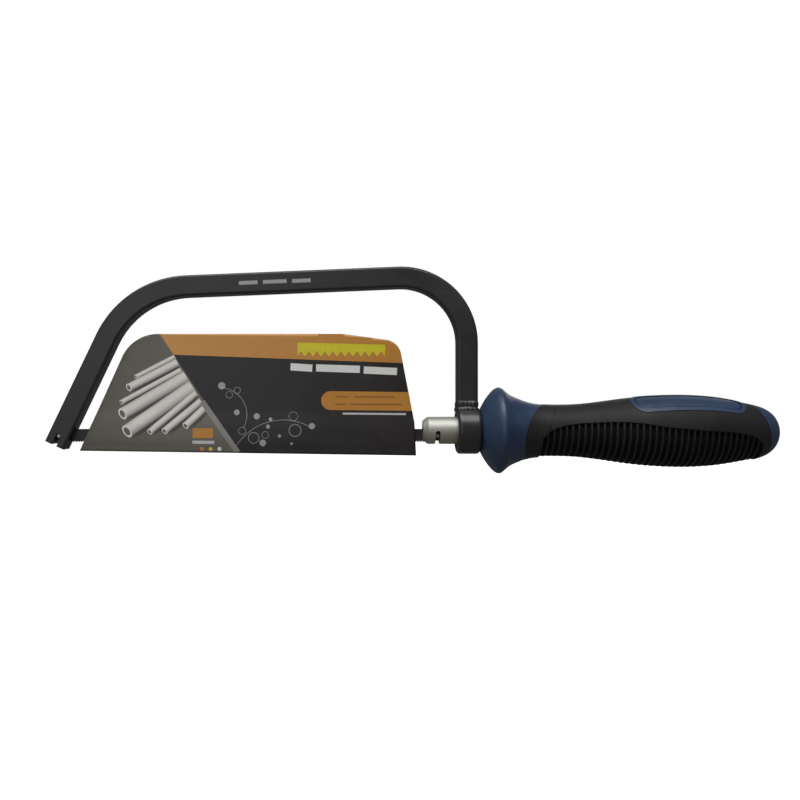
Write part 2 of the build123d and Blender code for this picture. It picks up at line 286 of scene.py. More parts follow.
def shared_effect(name, inputs, outputs):
    """A new shader node group: its wiring, its inputs by name and its output node."""
    tree = bpy.data.node_groups.new(name, "ShaderNodeTree")
    for label, (kind, default) in inputs.items():
        socket = tree.interface.new_socket(name=label, in_out="INPUT", socket_type=SOCKETS[kind])
        socket.default_value = default
    for label, kind in outputs.items():
        tree.interface.new_socket(name=label, in_out="OUTPUT", socket_type=SOCKETS[kind])
    given = tree.nodes.new("NodeGroupInput").outputs
    result = tree.nodes.new("NodeGroupOutput").inputs
    return tree, Wiring(tree), given, result


def edge_rub_effect():
    """Wear along outer edges, broken up into patches."""
    tree, wire, given, result = shared_effect(
        "edge_rub",
        {"Width": ("value", 0.4 * MM), "Patch Size": ("value", 4 * MM), "Amount": ("value", 0.5)},
        {"Rub": "value"},
    )
    rounded = wire.put("Bevel", {"Radius": given["Width"]}, samples=4).outputs[0]
    face = wire.put("NewGeometry", {}).outputs["Normal"]
    turn = wire.minus(1.0, wire.dot(rounded, face))
    edge = wire.spread(turn, 0.015, 0.22)
    scale = wire.over(1.0, given["Patch Size"])
    inputs = {"Vector": wire.place(), "Scale": scale, "Detail": 5.0, "Roughness": 0.65}
    patch = wire.put("TexNoise", inputs).outputs["Fac"]
    threshold = wire.minus(0.78, wire.times(given["Amount"], 0.5))
    worn = wire.spread(patch, threshold, wire.plus(threshold, 0.12))
    wire.feed(result["Rub"], wire.times(edge, worn, clamp=True))
    return tree


def grain_effect():
    """A fine irregular surface, as of cast, painted or moulded skins."""
    tree, wire, given, result = shared_effect(
        "grain",
        {"Grain Size": ("value", 0.4 * MM), "Sharpness": ("value", 0.5)},
        {"Height": "value", "Tone": "value"},
    )
    scale = wire.over(1.0, given["Grain Size"])
    inputs = {"Vector": wire.place(), "Scale": scale, "Detail": 4.0, "Roughness": given["Sharpness"]}
    noise = wire.put("TexNoise", inputs).outputs["Fac"]
    wire.feed(result["Height"], noise)
    wire.feed(result["Tone"], wire.spread(noise, 0.35, 0.65))
    return tree


def patches_effect():
    """Broad soft patches, for colour and gloss that vary over a surface."""
    tree, wire, given, result = shared_effect(
        "patches", {"Patch Size": ("value", 18 * MM)}, {"Tone": "value"}
    )
    scale = wire.over(1.0, given["Patch Size"])
    inputs = {"Vector": wire.place(), "Scale": scale, "Detail": 2.0, "Distortion": 0.6}
    noise = wire.put("TexNoise", inputs).outputs["Fac"]
    wire.feed(result["Tone"], wire.spread(noise, 0.36, 0.64))
    return tree


def ruled_lines_effect():
    """Fine parallel lines that a cutting tool, a grinder or a drawing die leaves."""
    tree, wire, given, result = shared_effect(
        "ruled_lines",
        {"Across": ("vector", (1, 0, 0)), "Line Width": ("value", 0.1 * MM)},
        {"Height": "value", "Tone": "value"},
    )
    along = wire.dot(wire.place(), given["Across"])
    step = wire.over(along, given["Line Width"])
    inputs = {"W": step, "Scale": 1.0, "Detail": 3.0, "Roughness": 0.6}
    noise = wire.put("TexNoise", inputs, noise_dimensions="1D").outputs["Fac"]
    wire.feed(result["Height"], noise)
    wire.feed(result["Tone"], wire.spread(noise, 0.3, 0.7))
    return tree


def scuffs_effect():
    """Short thin scuffs in two directions."""
    tree, wire, given, result = shared_effect(
        "scuffs", {"Length": ("value", 8 * MM), "Amount": ("value", 0.5)}, {"Mask": "value"}
    )
    marks = []
    for turn in (0.5, -0.9):
        inputs = {"Vector": wire.place(), "Rotation": (0.0, turn, 0.3), "Scale": (1, 12, 14)}
        stretched = wire.put("Mapping", inputs).outputs[0]
        scale = wire.over(1.0, given["Length"])
        inputs = {"Vector": stretched, "Scale": scale, "Detail": 2.0}
        noise = wire.put("TexNoise", inputs).outputs["Fac"]
        low = wire.minus(0.74, wire.times(given["Amount"], 0.1))
        marks.append(wire.spread(noise, low, wire.plus(low, 0.05)))
    wire.feed(result["Mask"], wire.math("MAXIMUM", *marks))
    return tree


# How soft the edges of the print are, in millimetres.
PRINT_BLUR = 0.12
RING_BLUR = 0.15
PIPE_BLUR = 0.14


def measure_line(wire, place, start, end):
    """Where a point is beside a line: how far along it and across it, and the line's length."""
    line = wire.vector("SUBTRACT", end, start)
    reach = wire.vector("SUBTRACT", place, start)
    way = wire.vector("NORMALIZE", line)
    side = wire.vector("CROSS_PRODUCT", way, (0.0, 0.0, 1.0))
    length_of_line = wire.vector("LENGTH", line, output="Value")
    return wire.dot(reach, way), wire.dot(reach, side), length_of_line


def printed_bar_effect():
    """A straight printed bar from Start to End, in the card's own millimetres."""
    tree, wire, given, result = shared_effect(
        "printed_bar",
        {
            "Place": ("vector", (0, 0, 0)),
            "Start": ("vector", (0, 0, 0)),
            "End": ("vector", (1, 0, 0)),
            "Half Width": ("value", 1.0),
            "Blur": ("value", PRINT_BLUR),
        },
        {"Mask": "value"},
    )
    along, across, size = measure_line(wire, given["Place"], given["Start"], given["End"])
    inside = wire.minus(given["Half Width"], wire.size(across))
    in_front = wire.math("MINIMUM", along, wire.minus(size, along))
    nearest = wire.math("MINIMUM", inside, in_front)
    wire.feed(result["Mask"], wire.over(nearest, given["Blur"], clamp=True))
    return tree


def printed_side_effect():
    """Everything to the left of a printed line that runs from Start to End."""
    tree, wire, given, result = shared_effect(
        "printed_side",
        {
            "Place": ("vector", (0, 0, 0)),
            "Start": ("vector", (0, 0, 0)),
            "End": ("vector", (1, 0, 0)),
        },
        {"Mask": "value"},
    )
    right = measure_line(wire, given["Place"], given["Start"], given["End"])[1]
    wire.feed(result["Mask"], wire.over(right, -PRINT_BLUR, clamp=True))
    return tree


def printed_ring_effect():
    """A printed ring, or a dot when its inner radius is below nothing."""
    tree, wire, given, result = shared_effect(
        "printed_ring",
        {
            "Place": ("vector", (0, 0, 0)),
            "Centre": ("vector", (0, 0, 0)),
            "Radius": ("value", 1.0),
            "Inner Radius": ("value", -1.0),
        },
        {"Mask": "value"},
    )
    away = wire.apart(given["Place"], given["Centre"])
    inside = wire.minus(given["Radius"], away)
    outside = wire.minus(away, given["Inner Radius"])
    nearest = wire.math("MINIMUM", inside, outside)
    wire.feed(result["Mask"], wire.over(nearest, RING_BLUR, clamp=True))
    return tree


def printed_pipe_effect():
    """A shaded pipe from its Mouth to its Far End, with its shadow, its rim and its hollow."""
    tree, wire, given, result = shared_effect(
        "printed_pipe",
        {
            "Place": ("vector", (0, 0, 0)),
            "Mouth": ("vector", (0, 0, 0)),
            "Far End": ("vector", (1, 0, 0)),
            "Half Width": ("value", 1.0),
        },
        {"Shadow": "value", "Body": "value", "Shade": "value", "Rim": "value", "Hollow": "value"},
    )
    along, across, size = measure_line(wire, given["Place"], given["Mouth"], given["Far End"])
    beside = wire.minus(wire.size(across), given["Half Width"])
    in_length = wire.math("MINIMUM", along, wire.minus(size, along))
    inside = wire.math("MINIMUM", in_length, wire.times(beside, -1.0))
    wire.feed(result["Body"], wire.over(inside, PIPE_BLUR, clamp=True))
    below = wire.spread(wire.minus(across, given["Half Width"]), 0.0, 1.5, 0.75, 0.0)
    near_half = wire.math("GREATER_THAN", across, 0.0)
    shadow = wire.times(wire.times(below, near_half), in_length, clamp=True)
    wire.feed(result["Shadow"], shadow)
    level = wire.over(across, given["Half Width"])
    lower = wire.math("POWER", wire.spread(level, -0.15, 1.0), 1.5)
    upper = wire.spread(level, -0.6, -1.0, 0.0, 0.45)
    wire.feed(result["Shade"], wire.math("MAXIMUM", lower, upper))
    flat = wire.over(along, wire.times(given["Half Width"], 0.55))
    squares = [wire.math("POWER", wire.size(part), 2.0) for part in (flat, level)]
    oval = wire.math("SQRT", wire.plus(*squares))
    for label, edge in (("Rim", 1.0), ("Hollow", 0.70)):
        within = wire.times(wire.minus(edge, oval), given["Half Width"])
        wire.feed(result[label], wire.over(within, PIPE_BLUR, clamp=True))
    return tree


def seams_effect():
    """A thin line where the hard moulding and the soft skin meet, seen from the side."""
    tree, wire, given, result = shared_effect(
        "seams", {"Width": ("value", 0.3 * MM)}, {"Line": "value"}
    )
    flat = wire.vector("MULTIPLY", wire.place(), (1.0, 0.0, 1.0))
    gaps = []
    for centre, radius in (GUARD_SEAM, BUTT_SEAM):
        away = wire.apart(flat, centre)
        gaps.append(wire.size(wire.minus(away, radius)))
    off_seam = wire.over(wire.math("MINIMUM", *gaps), given["Width"])
    wire.feed(result["Line"], wire.minus(1.0, off_seam, clamp=True))
    return tree


EFFECT_MAKERS = {
    "edge_rub": edge_rub_effect,
    "grain": grain_effect,
    "patches": patches_effect,
    "ruled_lines": ruled_lines_effect,
    "scuffs": scuffs_effect,
    "printed_bar": printed_bar_effect,
    "printed_side": printed_side_effect,
    "printed_ring": printed_ring_effect,
    "printed_pipe": printed_pipe_effect,
    "seams": seams_effect,
}


def effect(name):
    """A shared effect, made the first time that a finish asks for it."""
    return bpy.data.node_groups.get(name) or EFFECT_MAKERS[name]()


# ---------------------------------------------------------------- finishes

def new_finish(name, **constants):
    """A material with one Principled surface, whose constants sit on its own sockets."""
    finish = bpy.data.materials.new(name)
    finish.use_nodes = True
    surface = finish.node_tree.nodes["Principled BSDF"].inputs
    for socket, value in constants.items():
        surface[socket.replace("_", " ")].default_value = value
    return finish, Wiring(finish.node_tree), surface


def rough_up(wire, surface, height, depth):
    """Gives a surface the relief of a height pattern, depth metres deep."""
    inputs = {"Height": height, "Distance": depth, "Strength": 1.0}
    wire.feed(surface["Normal"], wire.put("Bump", inputs).outputs[0])


def opaque(colour_setting):
    """A colour setting as the four numbers that a colour socket takes."""
    return (*colour_setting, 1.0)


# Plain marks on the near side of the bow, in millimetres along and up: start, then end.
BOW_MARKS = (
    ((-166.0, 58.3, 0), (-158.5, 58.6, 0)),
    ((-156.5, 58.7, 0), (-147.0, 59.1, 0)),
    ((-145.0, 59.1, 0), (-137.5, 59.4, 0)),
)
BOW_MARK_HALF_HEIGHT = 0.8


def print_bow_marks(wire, ink, under):
    """Prints a row of plain bars on the bow's near side."""
    parts = wire.put("SeparateXYZ", {0: wire.place()}).outputs
    along = wire.over(parts["X"], MM)
    up = wire.over(parts["Z"], MM)
    spot = wire.put("CombineXYZ", {"X": along, "Y": up}).outputs[0]
    near_side = wire.spread(parts["Y"], LEG_LOW.y + 0.4 * MM, LEG_LOW.y + 0.2 * MM)
    bars = 0.0
    for start, end in BOW_MARKS:
        bar = wire.add(
            "printed_bar", place=spot, start=start, end=end, half_width=BOW_MARK_HALF_HEIGHT
        )
        bars = wire.math("MAXIMUM", bars, bar["Mask"])
    return wire.tint(wire.times(bars, near_side), under, ink)


def satin_black_paint():
    """Sprayed satin black, with a faint orange-peel surface and rubbed edges."""
    tones = bpy.context.scene.saw_paint
    finish, wire, surface = new_finish("satin_black_paint", Metallic=0.0)
    surface["Specular IOR Level"].default_value = 0.5
    peel = wire.add("grain", grain_size=1.1 * MM, sharpness=0.35)
    dust = wire.add("grain", grain_size=0.22 * MM, sharpness=0.7)
    cloud = wire.add("patches", patch_size=22 * MM)
    rub = wire.add("edge_rub", width=tones.rub_width, patch_size=5 * MM, amount=0.42)
    scuff = wire.add("scuffs", length=9 * MM, amount=0.35)
    worn = wire.times(scuff["Mask"], 0.55)
    base = wire.tint(cloud["Tone"], opaque(tones.paint), opaque([c * 1.3 for c in tones.paint]))
    specks = wire.times(wire.spread(dust["Height"], 0.63, 0.74), 0.5)
    base = wire.tint(specks, base, opaque(tones.thin_paint))
    base = wire.tint(worn, base, opaque(tones.thin_paint))
    base = wire.tint(rub["Rub"], base, opaque(tones.bare_steel))
    base = print_bow_marks(wire, opaque(tones.mark), base)
    wire.feed(surface["Base Color"], base)
    gloss = wire.spread(cloud["Tone"], 0.0, 1.0, 0.36, 0.47)
    wire.feed(surface["Roughness"], wire.plus(gloss, wire.times(worn, 0.15)))
    relief = wire.plus(peel["Height"], wire.times(dust["Height"], 0.16))
    rough_up(wire, surface, relief, 0.05 * MM)
    return finish


def glossy_black_paint():
    """The same paint where it has run thick over the weld and the bush."""
    tones = bpy.context.scene.saw_paint
    finish, wire, surface = new_finish("glossy_black_paint", Metallic=0.0, Coat_Roughness=0.22)
    surface["Coat Weight"].default_value = 0.25
    peel = wire.add("grain", grain_size=1.6 * MM, sharpness=0.45)
    pits = wire.add("grain", grain_size=0.30 * MM, sharpness=0.6)
    cloud = wire.add("patches", patch_size=9 * MM)
    rub = wire.add("edge_rub", width=tones.rub_width, patch_size=4 * MM, amount=0.3)
    dark = opaque([c * 0.75 for c in tones.paint])
    base = wire.tint(cloud["Tone"], dark, opaque(tones.paint))
    base = wire.tint(rub["Rub"], base, opaque(tones.bare_steel))
    wire.feed(surface["Base Color"], base)
    wire.feed(surface["Roughness"], wire.spread(pits["Height"], 0.3, 0.7, 0.30, 0.44))
    relief = wire.plus(peel["Height"], wire.times(pits["Height"], 0.35))
    rough_up(wire, surface, relief, 0.07 * MM)
    return finish


def turned_zinc():
    """Bright zinc over turned steel: fine rings, a painted brownish reflection on the lower side, dull
    patches.
    """
    tones = bpy.context.scene.saw_metal
    finish, wire, surface = new_finish("turned_zinc", Metallic=1.0)
    rings = wire.add("ruled_lines", across=(1, 0, 0), line_width=0.16 * MM)
    fine = wire.add("grain", grain_size=0.35 * MM, sharpness=0.6)
    # Soft patches that break up the painted brownish reflection on the stud's lower side.
    stain = wire.add("patches", patch_size=7 * MM)
    height = wire.put("SeparateXYZ", {0: wire.place()}).outputs["Z"]
    # Painted reflection: towards the bottom the zinc turns brownish-yellow, standing in for a brown
    # surface reflected from below.
    below = wire.spread(height, 2.5 * MM, -4.5 * MM)
    painted_lower_reflection = wire.times(below, wire.spread(stain["Tone"], 0.0, 1.0, 0.45, 0.95))
    base = wire.tint(painted_lower_reflection, opaque(tones.zinc), opaque(tones.zinc_lower_reflection))
    ringed = wire.times(rings["Tone"], 0.22)
    base = wire.tint(ringed, base, opaque([c * 0.55 for c in tones.zinc]))
    wire.feed(surface["Base Color"], base)
    dull = wire.plus(wire.times(fine["Tone"], 0.10), 0.48)
    wire.feed(surface["Roughness"], wire.plus(dull, wire.times(ringed, 0.5)))
    relief = wire.plus(rings["Height"], wire.times(fine["Height"], 0.4))
    rough_up(wire, surface, relief, 0.012 * MM)
    return finish


def blued_steel():
    """Blued blade steel with lengthwise rolling lines and bright tooth tips."""
    tones = bpy.context.scene.saw_metal
    finish, wire, surface = new_finish("blued_steel", Metallic=0.85)
    lines = wire.add("ruled_lines", across=(0, 0.3, 1), line_width=0.09 * MM)
    cloud = wire.add("patches", patch_size=11 * MM)
    rub = wire.add("edge_rub", width=0.12 * MM, patch_size=1.5 * MM, amount=0.5)
    height = wire.put("SeparateXYZ", {0: wire.place()}).outputs["Z"]
    tips = wire.spread(height, BLADE_LOW.z + 0.55 * MM, BLADE_LOW.z + 0.1 * MM)
    base = wire.tint(cloud["Tone"], opaque(tones.blued), opaque([c * 0.6 for c in tones.blued]))
    base = wire.tint(wire.times(tips, 0.35), base, opaque(tones.ground))
    base = wire.tint(wire.times(rub["Rub"], 0.7), base, opaque(tones.ground))
    wire.feed(surface["Base Color"], base)
    wire.feed(surface["Roughness"], wire.spread(lines["Tone"], 0.0, 1.0, 0.38, 0.52))
    rough_up(wire, surface, lines["Height"], 0.008 * MM)
    return finish


def ground_steel():
    """Plain ground steel for the cross pins."""
    tones = bpy.context.scene.saw_metal
    finish, wire, surface = new_finish("ground_steel", Metallic=1.0)
    rings = wire.add("ruled_lines", across=(0, 1, 0), line_width=0.10 * MM)
    fine = wire.add("grain", grain_size=0.3 * MM, sharpness=0.6)
    dull = opaque([c * 0.55 for c in tones.ground])
    wire.feed(surface["Base Color"], wire.tint(fine["Tone"], opaque(tones.ground), dull))
    wire.feed(surface["Roughness"], wire.spread(rings["Tone"], 0.0, 1.0, 0.28, 0.42))
    rough_up(wire, surface, rings["Height"], 0.010 * MM)
    return finish


def machined_brass():
    """Bright machined brass for the nut."""
    tones = bpy.context.scene.saw_metal
    finish, wire, surface = new_finish("machined_brass", Metallic=1.0)
    rings = wire.add("ruled_lines", across=(1, 0, 0), line_width=0.14 * MM)
    stain = wire.add("patches", patch_size=5 * MM)
    dull = opaque([c * 0.7 for c in tones.brass])
    wire.feed(surface["Base Color"], wire.tint(stain["Tone"], opaque(tones.brass), dull))
    wire.feed(surface["Roughness"], wire.spread(rings["Tone"], 0.0, 1.0, 0.22, 0.38))
    rough_up(wire, surface, rings["Height"], 0.012 * MM)
    return finish


def blue_moulding():
    """Hard dark blue moulding: semi-gloss, faintly cloudy, scuffed along its rim."""
    tones = bpy.context.scene.saw_handle
    finish, wire, surface = new_finish("blue_moulding", Metallic=0.0, Coat_Roughness=0.30)
    surface["Coat Weight"].default_value = 0.12
    cloud = wire.add("patches", patch_size=14 * MM)
    pores = wire.add("grain", grain_size=0.35 * MM, sharpness=0.55)
    flow = wire.add("grain", grain_size=4.5 * MM, sharpness=0.3)
    scuff = wire.add("scuffs", length=6 * MM, amount=0.6)
    rub = wire.add("edge_rub", width=0.5 * MM, patch_size=3 * MM, amount=0.35)
    base = wire.tint(cloud["Tone"], opaque(tones.blue), opaque(tones.blue_light))
    pale = opaque([min(1.0, c * 2.2 + 0.02) for c in tones.blue_light])
    worn = wire.math("MAXIMUM", wire.times(scuff["Mask"], 0.30), rub["Rub"])
    base = wire.tint(wire.times(worn, 0.6), base, pale)
    seams = wire.add("seams", width=0.35 * MM)
    base = wire.tint(seams["Line"], base, (0.002, 0.002, 0.003, 1.0))
    wire.feed(surface["Base Color"], base)
    wire.feed(surface["Roughness"], wire.spread(pores["Tone"], 0.0, 1.0, 0.40, 0.50))
    relief = wire.plus(wire.times(flow["Height"], 1.6), pores["Height"])
    rough_up(wire, surface, relief, 0.035 * MM)
    return finish


def panel_place(wire):
    """Where a point is on the grip: along its axis, off the pad's plane, and its folded height."""
    place = wire.place()
    along = wire.dot(place, GRIP_AXIS)
    from_axis = wire.vector("SUBTRACT", place, GRIP_FRONT)
    up = wire.dot(from_axis, GRIP_UP)
    near = wire.dot(from_axis, (0, -1, 0))
    up_to_pad = wire.times(up, sin(PAD_TURN))
    towards_pad = wire.plus(up_to_pad, wire.times(near, cos(PAD_TURN)))
    near_off = wire.times(near, sin(PAD_TURN))
    off_plane = wire.minus(near_off, wire.times(up, cos(PAD_TURN)))
    off_keel = wire.size(off_plane)
    pad_height = wire.times(towards_pad, sin(PAD_TURN))
    height = wire.minus(pad_height, wire.times(off_keel, cos(PAD_TURN)))
    drop = wire.times(wire.minus(along, GRIP_FRONT[0]), sin(DROOP))
    return along, off_keel, wire.minus(height, drop)


def panel_edge_height(wire, along):
    """The height of a panel's upper edge, at a place along the grip."""
    front, rear = PANEL_EDGE[0][0] * MM, PANEL_EDGE[-1][0] * MM
    lowest, highest = -8.0 * MM, 4.0 * MM
    edge = wire.put("FloatCurve", {"Value": wire.spread(along, front, rear)})
    line = edge.mapping.curves[0].points
    while len(line) < len(PANEL_EDGE):
        line.new(0.5, 0.5)
    for point, (x, z) in zip(line, PANEL_EDGE):
        point.location = ((x * MM - front) / (rear - front), (z * MM - lowest) / (highest - lowest))
    edge.mapping.update()
    return wire.spread(edge.outputs[0], 0.0, 1.0, lowest, highest)


def panel_grooves(wire):
    """Masks the grooves between the ribs of the grip's side panels, where shade is painted."""
    along, off_keel, height = panel_place(wire)
    step = wire.over(wire.minus(along, FIRST_RIB), RIB_PITCH)
    phase = wire.math("FRACT", wire.plus(step, 0.5))
    off_rib = wire.size(wire.minus(phase, 0.5))
    half_rib = RIB_WIDTH / RIB_PITCH / 2
    groove = wire.spread(off_rib, half_rib * 0.8, half_rib * 1.15)
    blur = 0.1 * MM
    under_edge = wire.minus(panel_edge_height(wire, along), height)
    below = wire.spread(under_edge, -blur, blur)
    beside = wire.spread(off_keel, KEEL_HALF_WIDTH - blur, KEEL_HALF_WIDTH + blur)
    behind = wire.math("GREATER_THAN", along, PANEL_EDGE[0][0] * MM - RIB_WIDTH)
    ahead = wire.math("LESS_THAN", along, PANEL_EDGE[-1][0] * MM + RIB_WIDTH)
    in_length = wire.times(behind, ahead)
    in_panel = wire.times(wire.times(below, beside), in_length)
    return wire.times(groove, in_panel)


def black_soft_skin():
    """Soft black skin: satin, finely stippled, polished a little where hands rub it, with painted
    shade in the grooves between its ribs.
    """
    tones = bpy.context.scene.saw_handle
    finish, wire, surface = new_finish("black_soft_skin", Metallic=0.0, Sheen_Roughness=0.5)
    surface["Sheen Weight"].default_value = 0.02
    surface["Specular IOR Level"].default_value = 0.32
    cloud = wire.add("patches", patch_size=20 * MM)
    stipple = wire.add("grain", grain_size=0.28 * MM, sharpness=0.6)
    swell = wire.add("grain", grain_size=5 * MM, sharpness=0.3)
    rub = wire.add("edge_rub", width=0.35 * MM, patch_size=2.5 * MM, amount=0.6)
    polish = wire.math("MAXIMUM", wire.times(cloud["Tone"], 0.7), rub["Rub"])
    base = wire.tint(polish, opaque(tones.skin), opaque(tones.skin_light))
    specks = wire.times(wire.spread(stipple["Height"], 0.64, 0.76), 0.5)
    base = wire.tint(specks, base, opaque([c * 2.4 for c in tones.skin_light]))
    seams = wire.add("seams", width=0.35 * MM)
    # Near-black along the seams, a dark joint, and painted shade in the grooves between the ribs of
    # the side panels.
    grooves = panel_grooves(wire)
    dark = wire.math("MAXIMUM", seams["Line"], grooves)
    base = wire.tint(dark, base, (0.0008, 0.0007, 0.0009, 1.0))
    wire.feed(surface["Base Color"], base)
    gloss = wire.spread(cloud["Tone"], 0.0, 1.0, 0.60, 0.50)
    wire.feed(surface["Roughness"], wire.math("MAXIMUM", gloss, grooves))
    relief = wire.plus(wire.times(swell["Height"], 1.2), stipple["Height"])
    rough_up(wire, surface, relief, 0.04 * MM)
    return finish


# ---------------------------------------------------------------- the card's print

# Places on the card in millimetres, from the print's front lower corner: along, then up. The
# print's corner lies a little inside the card's.
PRINT_INSET = Vector((0.5, 0, 0.3)) * MM
BORDER_TOP = (31.8, 48.0, 0)
BORDER_FOOT = (62.9, 0.9, 0)
STRIPE_TOP = (48.6, 21.4, 0)
BAND_FRONT = (20.0, 40.6, 0)
BAND_REAR = (134.0, 36.4, 0)
TEETH_FRONT, TEETH_REAR = 86.6, 121.6
TEETH_LOW, TEETH_HIGH, TEETH_PITCH = 39.2, 44.9, 3.2
TOOTH_DEPTH, TEETH_DROP = 2.2, 0.9
TITLE_HEIGHT = 35.2
TITLE_DASHES = ((83.8, 92.6), (94.0, 111.6), (113.0, 126.4))
TITLE_HALF_HEIGHT, TITLE_SLOPE, TITLE_DROP = 1.5, 0.045, 0.6
LABEL_FRONT = (99.8, 21.7, 0)
LABEL_REAR = (134.0, 21.3, 0)
LABEL_HALF_HEIGHT = 3.8
LABEL_LINES = ((101.5, 107.0, 23.3), (109.0, 125.5, 23.2), (101.5, 106.0, 20.3), (107.5, 128.5, 20.2))
NOTE_LINE = ((104.6, 16.5, 0), (130.0, 16.3, 0))
TAG_FRONT = (44.8, 8.7, 0)
TAG_REAR = (53.0, 8.7, 0)
TAG_HALF_HEIGHT = 2.0
RULE_LINE = ((44.6, 5.1, 0), (53.6, 5.0, 0))
FIRST_DOT, DOT_HEIGHT, DOT_PITCH, DOT_RADIUS = 48.5, 2.4, 3.5, 0.85

# Each printed pipe: its open end, its far end, then half its width.
PIPES = (
    ((22.1, 31.2, 0), (38.0, 39.4, 0), 0.95),
    ((19.3, 26.9, 0), (38.8, 37.0, 0), 1.65),
    ((16.3, 21.0, 0), (40.2, 34.0, 0), 1.05),
    ((16.8, 16.4, 0), (42.3, 31.4, 0), 2.45),
    ((18.7, 9.4, 0), (44.8, 27.4, 0), 2.75),
    ((27.7, 9.2, 0), (46.3, 24.8, 0), 1.35),
    ((33.6, 9.5, 0), (48.2, 21.6, 0), 1.45),
    ((42.0, 11.6, 0), (49.8, 19.0, 0), 1.5),
)

# Plain rings and dots that fill the middle of the dark panel: centre, radius, inner radius.
RINGS = (
    ((56.4, 27.6, 0), 1.5, -1.0),
    ((59.4, 24.0, 0), 1.5, 1.2),
    ((62.6, 25.8, 0), 1.4, 1.1),
    ((62.4, 17.0, 0), 1.2, -1.0),
    ((70.4, 15.4, 0), 1.3, -1.0),
    ((64.6, 9.6, 0), 1.6, 1.3),
    ((75.9, 14.2, 0), 0.8, -1.0),
    ((74.9, 11.3, 0), 0.9, -1.0),
    ((79.5, 7.6, 0), 0.7, -1.0),
    ((84.3, 4.5, 0), 0.6, -1.0),
    ((85.0, 15.4, 0), 1.9, 1.6),
    ((85.7, 9.8, 0), 2.6, 2.2),
    ((92.4, 11.5, 0), 1.3, -1.0),
    ((69.2, 6.8, 0), 2.3, 1.95),
    ((73.8, 8.0, 0), 1.5, 1.2),
    ((72.8, 4.8, 0), 1.4, -1.0),
)

# Two thin curves through the rings: centre, radius, and the two ends of each.
CURVES = (
    ((55.6, 16.0, 0), 11.0, (55.8, 27.0, 0), (65.2, 10.5, 0)),
    ((81.0, -8.2, 0), 22.3, (61.9, 3.4, 0), (91.6, 11.4, 0)),
)
CURVE_WIDTH = 0.32


def card_place(wire):
    """Where a point is on the card, in millimetres from its box's front lower corner."""
    parts = wire.put("SeparateXYZ", {0: wire.place()}).outputs
    along = wire.over(wire.minus(parts["X"], CARD_LOW.x + PRINT_INSET.x), MM)
    up = wire.over(wire.minus(parts["Z"], CARD_LOW.z + PRINT_INSET.z), MM)
    return wire.put("CombineXYZ", {"X": along, "Y": up}).outputs[0], along, up


def print_bar(wire, spot, start, end, half_width, ink, under, blur=PRINT_BLUR, strength=1.0):
    """Prints one straight bar over what is there."""
    bar = wire.add(
        "printed_bar", place=spot, start=start, end=end, half_width=half_width, blur=blur
    )
    mask = bar["Mask"] if strength == 1.0 else wire.times(bar["Mask"], strength)
    return wire.tint(mask, under, ink)


def print_ring(wire, spot, centre, radius, inner, ink, under, strength=1.0):
    """Prints one ring or dot over what is there."""
    ring = wire.add(
        "printed_ring", place=spot, centre=centre, radius=radius, inner_radius=inner
    )
    mask = ring["Mask"] if strength == 1.0 else wire.times(ring["Mask"], strength)
    return wire.tint(mask, under, ink)


def print_curve(wire, spot, centre, radius, start, end, ink, under, strength):
    """Prints a thin curve, the part of a ring to the left of a line between two points."""
    inner = radius - CURVE_WIDTH
    ring = wire.add(
        "printed_ring", place=spot, centre=centre, radius=radius, inner_radius=inner
    )
    side = wire.add("printed_side", place=spot, start=start, end=end)
    mask = wire.times(ring["Mask"], side["Mask"])
    return wire.tint(wire.times(mask, strength), under, ink)


def print_pipe(wire, spot, mouth, far_end, half_width, inks, under):
    """Prints one shaded pipe, with its shadow below it and its dark mouth."""
    pipe = wire.add(
        "printed_pipe", place=spot, mouth=mouth, far_end=far_end, half_width=half_width
    )
    shadow = opaque([c * 0.35 for c in inks.olive])
    art = wire.tint(pipe["Shadow"], under, shadow)
    body = wire.tint(pipe["Shade"], opaque(inks.pipe), opaque(inks.pipe_shade))
    art = wire.tint(pipe["Body"], art, body)
    art = wire.tint(pipe["Rim"], art, opaque(inks.pipe))
    return wire.tint(pipe["Hollow"], art, opaque(inks.pipe_shade))


def print_front_panel(wire, spot, along, up, inks):
    """The olive panel with its fan of pipes."""
    bright = wire.spread(wire.plus(along, wire.times(up, -0.35)), -12.0, 45.0)
    dark_olive = opaque([c * 0.62 for c in inks.olive])
    art = wire.tint(bright, dark_olive, opaque(inks.olive))
    low = wire.spread(up, 16.0, 0.0, 0.0, 0.55)
    art = wire.tint(low, art, dark_olive)
    for mouth, far_end, half_width in PIPES:
        art = print_pipe(wire, spot, mouth, far_end, half_width, inks, art)
    return art


